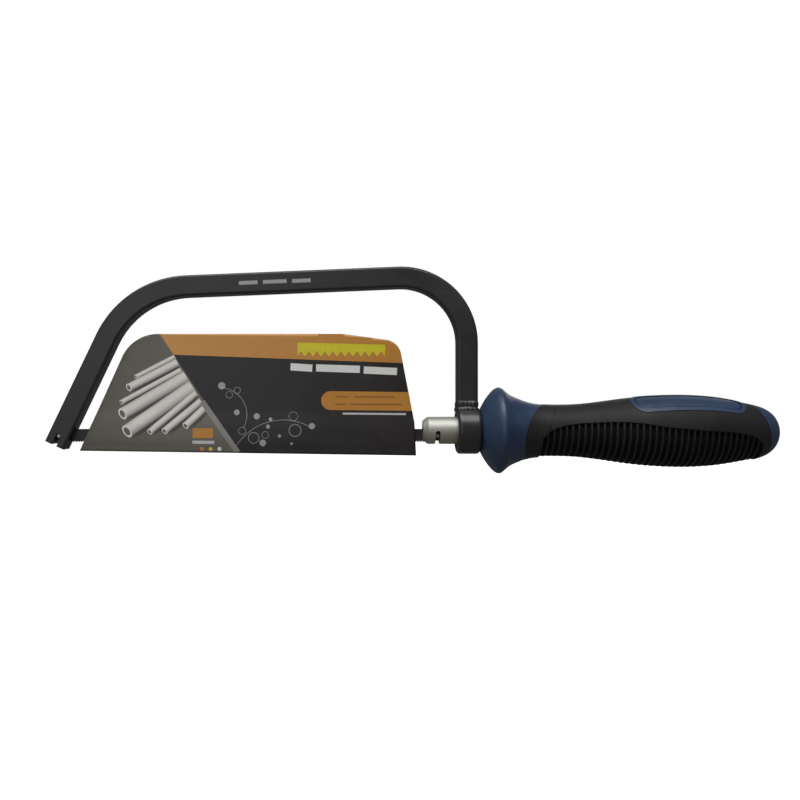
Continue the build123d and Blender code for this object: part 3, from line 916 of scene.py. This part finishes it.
def print_rear_panel(wire, spot, along, up, inks):
    """The charcoal panel with its band, row of teeth, dashes, label and plain rings."""
    warm = opaque([inks.charcoal[0] * 1.15, inks.charcoal[1] * 0.95, inks.charcoal[2] * 0.72])
    art = wire.tint(wire.spread(along, 45.0, 125.0), opaque(inks.charcoal), warm)
    for centre, radius, inner in RINGS:
        art = print_ring(wire, spot, centre, radius, inner, opaque(inks.pipe), art, 0.45)
    for centre, radius, start, end in CURVES:
        art = print_curve(wire, spot, centre, radius, start, end, opaque(inks.pipe), art, 0.5)
    band = wire.add("printed_side", place=spot, start=BAND_FRONT, end=BAND_REAR)
    pale = wire.spread(along, 30.0, 120.0)
    red, green, blue = inks.orange
    pale_orange = opaque([min(1.0, red * 1.12), green * 1.25, blue * 2.6])
    orange = wire.tint(pale, pale_orange, opaque(inks.orange))
    art = wire.tint(band["Mask"], art, orange)
    phase = wire.math("FRACT", wire.over(along, TEETH_PITCH))
    tooth = wire.times(wire.size(wire.minus(phase, 0.5)), 2.0)
    low_edge = wire.spread(tooth, 0.0, 1.0, TEETH_LOW + TOOTH_DEPTH, TEETH_LOW)
    above_tip = wire.over(wire.minus(up, low_edge), PRINT_BLUR, clamp=True)
    middle = (TEETH_LOW + TEETH_HIGH) / 2
    row = wire.add(
        "printed_bar",
        place=spot,
        start=(TEETH_FRONT, middle, 0),
        end=(TEETH_REAR, middle - TEETH_DROP, 0),
        half_width=(TEETH_HIGH - TEETH_LOW) / 2,
    )
    teeth = wire.times(row["Mask"], above_tip)
    art = wire.tint(teeth, art, opaque(inks.yellow))
    for start, end in TITLE_DASHES:
        height = TITLE_HEIGHT - TITLE_SLOPE * (start - TITLE_DASHES[0][0])
        first, last = (start, height, 0), (end, height - TITLE_DROP, 0)
        art = print_bar(wire, spot, first, last, TITLE_HALF_HEIGHT, opaque(inks.white), art)
    art = print_ring(wire, spot, LABEL_FRONT, LABEL_HALF_HEIGHT, -1.0, opaque(inks.orange), art)
    art = print_bar(
        wire, spot, LABEL_FRONT, LABEL_REAR, LABEL_HALF_HEIGHT, opaque(inks.orange), art
    )
    for start, end, height in LABEL_LINES:
        line = ((start, height, 0), (end, height - 0.1, 0))
        art = print_bar(wire, spot, *line, 0.42, opaque(inks.charcoal), art, 0.3, 0.55)
    return print_bar(wire, spot, *NOTE_LINE, 0.5, opaque(inks.white), art, 0.3, 0.8)


def print_tag(wire, spot, inks, under):
    """The small tag, the rule under it and the three dots."""
    art = print_bar(wire, spot, TAG_FRONT, TAG_REAR, TAG_HALF_HEIGHT, opaque(inks.orange), under)
    art = print_bar(wire, spot, *RULE_LINE, 0.75, opaque(inks.white), art, 0.25, 0.7)
    dots = (inks.orange, inks.yellow, inks.white)
    for number, ink in enumerate(dots):
        centre = (FIRST_DOT + DOT_PITCH * number, DOT_HEIGHT, 0)
        art = print_ring(wire, spot, centre, DOT_RADIUS, -1.0, opaque(ink), art)
    return art


def inked_card():
    """The coated printed face of the card, with plain marks in place of any wording."""
    inks = bpy.context.scene.saw_card
    finish, wire, surface = new_finish("inked_card", Metallic=0.0, Coat_Roughness=0.16)
    surface["Coat Weight"].default_value = 0.12
    spot, along, up = card_place(wire)
    front = print_front_panel(wire, spot, along, up, inks)
    rear = print_rear_panel(wire, spot, along, up, inks)
    border = wire.add("printed_side", place=spot, start=BORDER_TOP, end=BORDER_FOOT)
    art = wire.tint(border["Mask"], front, rear)
    art = print_bar(wire, spot, STRIPE_TOP, BORDER_FOOT, 1.15, opaque(inks.silver), art)
    art = print_tag(wire, spot, inks, art)
    fibre = wire.add("grain", grain_size=0.5 * MM, sharpness=0.7)
    cloud = wire.add("patches", patch_size=16 * MM)
    scuff = wire.add("scuffs", length=7 * MM, amount=0.3)
    rub = wire.add("edge_rub", width=0.3 * MM, patch_size=3 * MM, amount=0.8)
    art = wire.tint(wire.times(fibre["Tone"], 0.10), art, (0, 0, 0, 1))
    art = wire.tint(wire.times(cloud["Tone"], 0.015), art, (0.3, 0.3, 0.3, 1))
    worn = wire.math("MAXIMUM", wire.times(scuff["Mask"], 0.12), rub["Rub"])
    art = wire.tint(wire.times(worn, 0.7), art, opaque(inks.board))
    wire.feed(surface["Base Color"], art)
    wire.feed(surface["Roughness"], wire.spread(cloud["Tone"], 0.0, 1.0, 0.42, 0.52))
    relief = wire.plus(fibre["Height"], wire.times(cloud["Tone"], 3.0))
    rough_up(wire, surface, relief, 0.015 * MM)
    return finish


def bare_board():
    """The unprinted grey inside and the cut edges of the card."""
    inks = bpy.context.scene.saw_card
    finish, wire, surface = new_finish("bare_board", Metallic=0.0)
    fibre = wire.add("grain", grain_size=0.25 * MM, sharpness=0.75)
    cloud = wire.add("patches", patch_size=9 * MM)
    base = wire.tint(fibre["Tone"], opaque(inks.board), opaque([c * 0.78 for c in inks.board]))
    stain = opaque([c * 0.6 for c in inks.board])
    base = wire.tint(wire.times(cloud["Tone"], 0.2), base, stain)
    wire.feed(surface["Base Color"], base)
    wire.feed(surface["Roughness"], wire.spread(fibre["Tone"], 0.0, 1.0, 0.75, 0.9))
    rough_up(wire, surface, fibre["Height"], 0.04 * MM)
    return finish


# How bright the floor is for the saw, as a share of its colour, and its own glow for the lens.
FLOOR_DIM = 0.24
FLOOR_GLOW = 0.92


def studio_floor():
    """A pale floor that the lens sees a little brighter than the saw does."""
    studio = bpy.context.scene.saw_studio
    finish, wire, surface = new_finish("studio_floor", Metallic=0.0)
    surface["Specular IOR Level"].default_value = 0.1
    cloud = wire.add("patches", patch_size=90 * MM)
    seen = wire.put("LightPath", {}).outputs["Is Camera Ray"]
    pale = opaque(studio.floor_colour)
    soft = opaque([c * 0.98 for c in studio.floor_colour])
    dim = opaque([c * FLOOR_DIM for c in studio.floor_colour])
    floor_tone = wire.tint(cloud["Tone"], pale, soft)
    wire.feed(surface["Base Color"], wire.tint(seen, dim, floor_tone))
    wire.feed(surface["Roughness"], wire.spread(cloud["Tone"], 0.0, 1.0, 0.85, 0.95))
    wire.feed(surface["Emission Strength"], wire.times(seen, FLOOR_GLOW))
    surface["Emission Color"].default_value = (1, 1, 1, 1)
    return finish


FINISH_MAKERS = {
    "satin_black_paint": satin_black_paint,
    "glossy_black_paint": glossy_black_paint,
    "turned_zinc": turned_zinc,
    "blued_steel": blued_steel,
    "ground_steel": ground_steel,
    "machined_brass": machined_brass,
    "blue_moulding": blue_moulding,
    "black_soft_skin": black_soft_skin,
    "inked_card": inked_card,
    "bare_board": bare_board,
    "studio_floor": studio_floor,
}


def finish_named(name):
    """A finish, made the first time that a piece asks for it."""
    return bpy.data.materials.get(name) or FINISH_MAKERS[name]()


def refinish(node, name):
    """Gives a piece of the frame its finish."""
    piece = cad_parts[node]
    piece.data.materials.clear()
    piece.data.materials.append(finish_named(name))


# ---------------------------------------------------------------- mesh helpers

def new_piece(name, shape, finishes, smooth=True):
    """Turns a bmesh into an object with its finishes."""
    mesh = bpy.data.meshes.new(name)
    shape.to_mesh(mesh)
    shape.free()
    for polygon in mesh.polygons:
        polygon.use_smooth = smooth
    piece = bpy.data.objects.new(name, mesh)
    bpy.context.scene.collection.objects.link(piece)
    for finish in finishes:
        mesh.materials.append(finish_named(finish))
    return piece


def ease(value, low, high):
    """Rises smoothly from 0 at low to 1 at high."""
    share = min(1.0, max(0.0, (value - low) / (high - low)))
    return share * share * (3 - 2 * share)


def cut_outside(shape, point, outward):
    """Cuts a flat sheet along a line and drops what lies beyond it."""
    everything = shape.verts[:] + shape.edges[:] + shape.faces[:]
    bmesh.ops.bisect_plane(
        shape, geom=everything, plane_co=point, plane_no=outward, clear_outer=True, dist=1e-7
    )


def score(shape, point, across):
    """Adds a row of edges along a line, with nothing dropped."""
    everything = shape.verts[:] + shape.edges[:] + shape.faces[:]
    bmesh.ops.bisect_plane(shape, geom=everything, plane_co=point, plane_no=across, dist=1e-7)


# ---------------------------------------------------------------- pieces

class HACKSAW_OT_bow(Operator):
    """Paint the bow and the bush that carries its stud"""

    bl_idname = "hacksaw.bow"
    bl_label = "Bow and bush"

    def execute(self, context):
        refinish("frame_bow", "satin_black_paint")
        refinish("eye_bush", "glossy_black_paint")
        return {"FINISHED"}


# How high the two runs' crests lie above the foot of the weld, in millimetres.
CREST_HEIGHTS = (0.2, 2.6)


class HACKSAW_OT_weld(Operator):
    """Lay the two lumpy weld runs between the rear leg and the bush"""

    bl_idname = "hacksaw.weld"
    bl_label = "Weld runs"

    def execute(self, context):
        weld = context.scene.saw_weld
        middle = (WELD_LOW + WELD_HIGH) / 2
        half_bar = LEG_HIGH.y
        around, rows = 96, 26
        overlap = 0.3 * MM
        low, high = WELD_LOW.z - overlap, WELD_HIGH.z + overlap
        crests = [WELD_LOW.z + height * MM for height in CREST_HEIGHTS]
        shape = bmesh.new()
        bmesh.ops.create_circle(shape, segments=around, radius=half_bar)
        bmesh.ops.translate(shape, verts=shape.verts[:], vec=(middle.x, 0, low))
        rim = shape.edges[:]
        for _ in range(rows):
            grown = bmesh.ops.extrude_edge_only(shape, edges=rim)["geom"]
            rim = [part for part in grown if isinstance(part, bmesh.types.BMEdge)]
            new_verts = [part for part in grown if isinstance(part, bmesh.types.BMVert)]
            bmesh.ops.translate(shape, verts=new_verts, vec=(0, 0, (high - low) / rows))
        for vert in shape.verts:
            self.shape_bead(vert, weld, middle.x, half_bar, high, crests)
        bmesh.ops.recalc_face_normals(shape, faces=shape.faces[:])
        piece = new_piece("weld_runs", shape, ["glossy_black_paint"])
        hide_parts("weld_bead")
        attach(piece, "frame")
        return {"FINISHED"}

    def shape_bead(self, vert, weld, leg_x, half_bar, top, crests):
        """Moves one point of a round tube out to the bar's sides, then out over the beads."""
        away = Vector((vert.co.x - leg_x, vert.co.y, 0)).normalized()
        height = vert.co.z
        corner = 7.0
        squareness = sum(abs(part) ** corner for part in away.xy) ** (-1 / corner)
        turn = away.angle(Vector((1, 0, 0))) * (1 if away.y >= 0 else -1)
        sideways = 0.28 + 0.72 * away.y ** 2
        bulge = 0.0
        for number, (crest, stand) in enumerate(zip(crests, (weld.foot_stand, weld.bead_stand))):
            wander = 0.22 * MM * sin(3 * turn + 2.1 * number)
            reach = 1.3 * MM
            near = max(0.0, 1 - ((height - crest - wander) / reach) ** 2) ** 0.5
            lump = weld.lump_height * sin(weld.lumps * turn + 1.7 * number + 1.3 * sin(2 * turn))
            bulge = max(bulge, near * (stand * sideways + lump * near))
        sunk = 0.25 * MM * (1 - ease(height, top, top - 0.5 * MM))
        radius = half_bar * squareness + bulge - sunk
        vert.co.x = leg_x + away.x * radius
        vert.co.y = away.y * radius


class HACKSAW_OT_blade(Operator):
    """Give the blade and its pins their steel"""

    bl_idname = "hacksaw.blade"
    bl_label = "Blade and pins"

    def execute(self, context):
        refinish("blade", "blued_steel")
        refinish("front_blade_pin", "ground_steel")
        refinish("rear_blade_pin", "ground_steel")
        return {"FINISHED"}


class HACKSAW_OT_tension(Operator):
    """Give the stud, its index pin, the washer and the nut their metals"""

    bl_idname = "hacksaw.tension"
    bl_label = "Tension screw"

    def execute(self, context):
        refinish("tension_stud", "turned_zinc")
        refinish("thrust_washer", "turned_zinc")
        refinish("index_pin", "ground_steel")
        refinish("handle_nut", "machined_brass")
        return {"FINISHED"}


class HACKSAW_OT_handle(Operator):
    """Finish the hard moulding and the soft skin of the handle"""

    bl_idname = "hacksaw.handle"
    bl_label = "Handle"

    def execute(self, context):
        refinish("handle_core", "blue_moulding")
        refinish("grip_overmould", "black_soft_skin")
        return {"FINISHED"}


# The card's corners above its fold, in millimetres from the front lower corner of its box, each
# with the radius that it is rounded to. The fold drops slightly towards the handle.
CARD_FOLD_FRONT = (0.0, 1.9)
CARD_FOLD_REAR = (134.5, 0.0)
CARD_CORNERS = (
    ((133.8, 13.7), 6.0),
    ((127.5, 46.1), 7.0),
    ((105.1, 49.1), 12.0),
    ((21.3, 49.1), 16.0),
)
CORNER_STEPS = 8


# Both leaves wave sideways together by the warp, and the upper rear corners lift apart.
WARP = 0.10 * MM
WARP_LENGTH = 27 * MM
CORNER_LIFT = 0.35 * MM


class HACKSAW_OT_card(Operator):
    """Fold the printed card over the blade"""

    bl_idname = "hacksaw.card"
    bl_label = "Card sleeve"

    def execute(self, context):
        card = context.scene.saw_card
        size = CARD_HIGH - CARD_LOW
        reach = size.z + 2 * MM
        shape = bmesh.new()
        bmesh.ops.create_grid(shape, x_segments=110, y_segments=80, size=0.5)
        bmesh.ops.scale(shape, verts=shape.verts[:], vec=(size.x, 2 * reach, 1))
        bmesh.ops.translate(shape, verts=shape.verts[:], vec=(size.x / 2, 0, 0))
        for row in range(-6, 7):
            score(shape, (0, row * card.fold_radius * pi / 12, 0), (0, 1, 0))
        self.trim(shape)
        for vert in shape.verts:
            vert.co = self.folded(vert.co, card)
        piece = new_piece("card_sleeve", shape, ["inked_card", "bare_board"])
        leaf = piece.modifiers.new("leaf", "SOLIDIFY")
        leaf.thickness = card.leaf_thickness
        leaf.offset = -1
        leaf.material_offset = 1
        leaf.material_offset_rim = 1
        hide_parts("blade_sleeve")
        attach(piece, "sleeve")
        return {"FINISHED"}

    def fold_height(self, along):
        """The height of the fold above the card's box, at a place along the card."""
        share = along / (CARD_FOLD_REAR[0] * MM)
        return MM * (CARD_FOLD_FRONT[1] + (CARD_FOLD_REAR[1] - CARD_FOLD_FRONT[1]) * share)

    def trim(self, shape):
        """Cuts the flat sheet to the card's outline, the same on both sides of the fold."""
        outline = [CARD_FOLD_REAR, *[corner for corner, _ in CARD_CORNERS], CARD_FOLD_FRONT]
        rounding = [radius for _, radius in CARD_CORNERS]
        flat = [Vector((x * MM, y * MM - self.fold_height(x * MM), 0)) for x, y in outline]
        outward = []
        for start, end in zip(flat, flat[1:]):
            way = (end - start).normalized()
            outward.append(Vector((way.y, -way.x, 0)))
        for start, normal in zip(flat, outward):
            self.trim_both(shape, start, normal)
        for corner, before, after, radius in zip(flat[1:], outward, outward[1:], rounding):
            bisector = (before + after).normalized()
            centre = corner - bisector * radius * MM / bisector.dot(before)
            for step in range(1, CORNER_STEPS):
                normal = before.slerp(after, step / CORNER_STEPS)
                self.trim_both(shape, centre + normal * radius * MM, normal)

    def trim_both(self, shape, point, outward):
        """Cuts along one line, and along its mirror image across the fold."""
        cut_outside(shape, point, outward)
        mirror = Vector((1, -1, 1))
        cut_outside(shape, point * mirror, outward * mirror)

    def folded(self, flat, card):
        """Where a point of the flat sheet goes once the card is folded round the blade."""
        side = -1 if flat.y > 0 else 1
        distance = abs(flat.y)
        radius = card.fold_radius
        quarter = radius * pi / 2
        if distance < quarter:
            stand = radius * sin(distance / radius)
            height = radius * (1 - cos(distance / radius))
        else:
            height = distance - quarter + radius
            stand = self.leaf_stand(height, card)
        along = flat.x
        warp = WARP * sin(along / WARP_LENGTH) * ease(height, 14 * MM, 44 * MM)
        rear = ease(along, 105 * MM, 132 * MM)
        corner_lift = CORNER_LIFT * rear * ease(height, 20 * MM, 46 * MM)
        y = side * (stand + corner_lift) + warp
        return Vector((CARD_LOW.x + along, y, CARD_LOW.z + self.fold_height(along) + height))

    def leaf_stand(self, height, card):
        """How far a leaf stands out from the blade's plane, at a height above the fold."""
        blade_back = BLADE_HIGH.z - CARD_LOW.z
        over_blade = ease(height, card.fold_radius, 5 * MM)
        settled = ease(height, blade_back - 0.5 * MM, blade_back + 7 * MM)
        stand = card.fold_radius + (card.blade_stand - card.fold_radius) * over_blade
        return stand + (card.top_stand - card.blade_stand) * settled


# ---------------------------------------------------------------- studio

class HACKSAW_OT_stage(Operator):
    """Set out the floor, the lights and the camera"""

    bl_idname = "hacksaw.stage"
    bl_label = "Studio"

    def execute(self, context):
        studio = context.scene.saw_studio
        context.scene.view_settings.view_transform = "Standard"
        self.floor()
        self.room(studio)
        middle = (Vector(CAD_BOX[0]) + Vector(CAD_BOX[1])) / 2
        overhead = middle + Vector((-0.10, -0.28, 0.62))
        front = middle + Vector((-0.35, -0.80, 0.12))
        behind = middle + Vector((0.30, 0.80, 0.25))
        self.soft_light("overhead_light", overhead, middle, (0.80, 0.42), studio.key_power)
        self.soft_light("front_light", front, middle, (0.60, 0.50), studio.fill_power)
        self.soft_light("back_light", behind, middle, (0.60, 0.50), studio.back_power)
        self.camera(studio)
        return {"FINISHED"}

    def floor(self):
        """A wide round flat floor."""
        shape = bmesh.new()
        bmesh.ops.create_circle(shape, segments=96, radius=4.0, cap_ends=True)
        bmesh.ops.translate(shape, verts=shape.verts[:], vec=(0, 0, FLOOR_HEIGHT))
        floor = new_piece("studio_floor", shape, ["studio_floor"], smooth=False)

    def room(self, studio):
        """White all round for the lens, and a dimmer soft light for the saw."""
        world = bpy.data.worlds.new("studio_room")
        bpy.context.scene.world = world
        world.use_nodes = True
        wire = Wiring(world.node_tree)
        background = world.node_tree.nodes["Background"].inputs
        seen = wire.put("LightPath", {}).outputs["Is Camera Ray"]
        background["Color"].default_value = (1, 1, 1, 1)
        wire.feed(background["Strength"], wire.spread(seen, 0.0, 1.0, studio.room_light, 1.0))

    def soft_light(self, name, place, target, size, power):
        """A large rectangular light that faces the saw."""
        lamp = bpy.data.lights.new(name, "AREA")
        lamp.shape = "RECTANGLE"
        lamp.size, lamp.size_y = size
        lamp.energy = power
        light = bpy.data.objects.new(name, lamp)
        bpy.context.scene.collection.objects.link(light)
        light.location = place
        light.rotation_euler = (target - place).to_track_quat("-Z", "Y").to_euler()

    def camera(self, studio):
        """A level camera that looks straight at the side of the saw."""
        eye = bpy.data.cameras.new("camera")
        eye.lens = studio.lens
        eye.sensor_width = 36
        eye.shift_x, eye.shift_y = studio.shift
        eye.clip_start = 0.01
        camera = bpy.data.objects.new("camera", eye)
        bpy.context.scene.collection.objects.link(camera)
        camera.location = (studio.camera_place, -studio.camera_distance, studio.camera_height)
        camera.rotation_euler = (radians(90), 0, 0)
        bpy.context.scene.camera = camera


class HACKSAW_PT_pieces(Panel):
    """Lists the saw's pieces and their settings"""

    bl_idname = "HACKSAW_PT_pieces"
    bl_label = "Mini hacksaw"
    bl_space_type = "VIEW_3D"
    bl_region_type = "UI"
    bl_category = "Hacksaw"

    def draw(self, context):
        for operator in OPERATORS:
            self.layout.operator(operator.bl_idname)
        for name in SETTINGS:
            box = self.layout.box()
            group = getattr(context.scene, name)
            for setting in group.bl_rna.properties.keys():
                if setting not in ("rna_type", "name"):
                    box.prop(group, setting)


SETTINGS = {
    "saw_studio": StudioSettings,
    "saw_paint": PaintSettings,
    "saw_metal": MetalSettings,
    "saw_handle": HandleSettings,
    "saw_card": CardSettings,
    "saw_weld": WeldSettings,
}

OPERATORS = (
    HACKSAW_OT_bow,
    HACKSAW_OT_weld,
    HACKSAW_OT_blade,
    HACKSAW_OT_tension,
    HACKSAW_OT_handle,
    HACKSAW_OT_card,
    HACKSAW_OT_stage,
)


def register():
    for name, settings in SETTINGS.items():
        bpy.utils.register_class(settings)
        setattr(bpy.types.Scene, name, PointerProperty(type=settings))
    for operator in OPERATORS:
        bpy.utils.register_class(operator)
    bpy.utils.register_class(HACKSAW_PT_pieces)


def unregister():
    bpy.utils.unregister_class(HACKSAW_PT_pieces)
    for operator in reversed(OPERATORS):
        bpy.utils.unregister_class(operator)
    for name, settings in SETTINGS.items():
        delattr(bpy.types.Scene, name)
        bpy.utils.unregister_class(settings)


def main():
    """Registers the add-on and makes every piece in turn."""
    register()
    bpy.ops.hacksaw.bow()
    bpy.ops.hacksaw.weld()
    bpy.ops.hacksaw.blade()
    bpy.ops.hacksaw.tension()
    bpy.ops.hacksaw.handle()
    bpy.ops.hacksaw.card()
    bpy.ops.hacksaw.stage()


if __name__ == "__main__":
    main()
